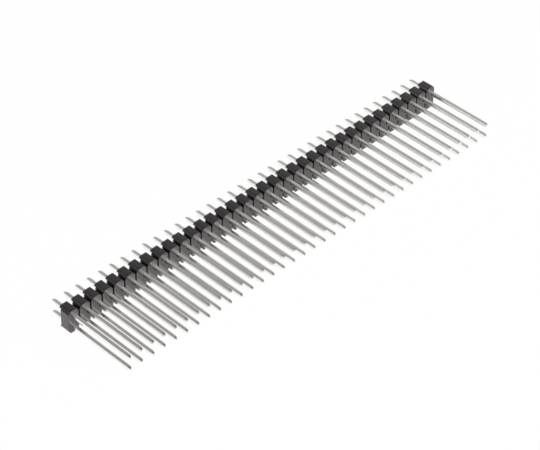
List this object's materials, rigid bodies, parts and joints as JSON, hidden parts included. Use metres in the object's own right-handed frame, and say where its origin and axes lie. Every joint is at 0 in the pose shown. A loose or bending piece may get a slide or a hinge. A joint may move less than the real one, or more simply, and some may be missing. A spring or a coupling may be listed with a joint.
{
  "type": "pin header strip",
  "caption": "Double-row break-away pin header strip with extra-long square posts and short solder tails through a notched black body.",
  "frame": {"origin": "centre of the solder-tail grid, in the plane of the feet that stand on the board", "axes": "+X along the strip towards the last column, +Y the way the solder tails point, +Z from the lower row to the upper row"},
  "size_m": [0.0912, 0.0195, 0.0048],
  "materials": {
    "moulding": "gloss",
    "plated_wire": "bright tin plating"
  },
  "bodies": {
    "root": {"body": "moulding", "pins_01": "plated_wire", "pins_02": "plated_wire", "pins_03": "plated_wire", "pins_04": "plated_wire", "pins_05": "plated_wire", "pins_06": "plated_wire", "pins_07": "plated_wire", "pins_08": "plated_wire", "pins_09": "plated_wire", "pins_10": "plated_wire", "pins_11": "plated_wire", "pins_12": "plated_wire", "pins_13": "plated_wire", "pins_14": "plated_wire", "pins_15": "plated_wire", "pins_16": "plated_wire", "pins_17": "plated_wire", "pins_18": "plated_wire", "pins_19": "plated_wire", "pins_20": "plated_wire", "pins_21": "plated_wire", "pins_22": "plated_wire", "pins_23": "plated_wire", "pins_24": "plated_wire", "pins_25": "plated_wire", "pins_26": "plated_wire", "pins_27": "plated_wire", "pins_28": "plated_wire", "pins_29": "plated_wire", "pins_30": "plated_wire", "pins_31": "plated_wire", "pins_32": "plated_wire", "pins_33": "plated_wire", "pins_34": "plated_wire", "pins_35": "plated_wire", "pins_36": "plated_wire"}
  },
  "joints": []
}
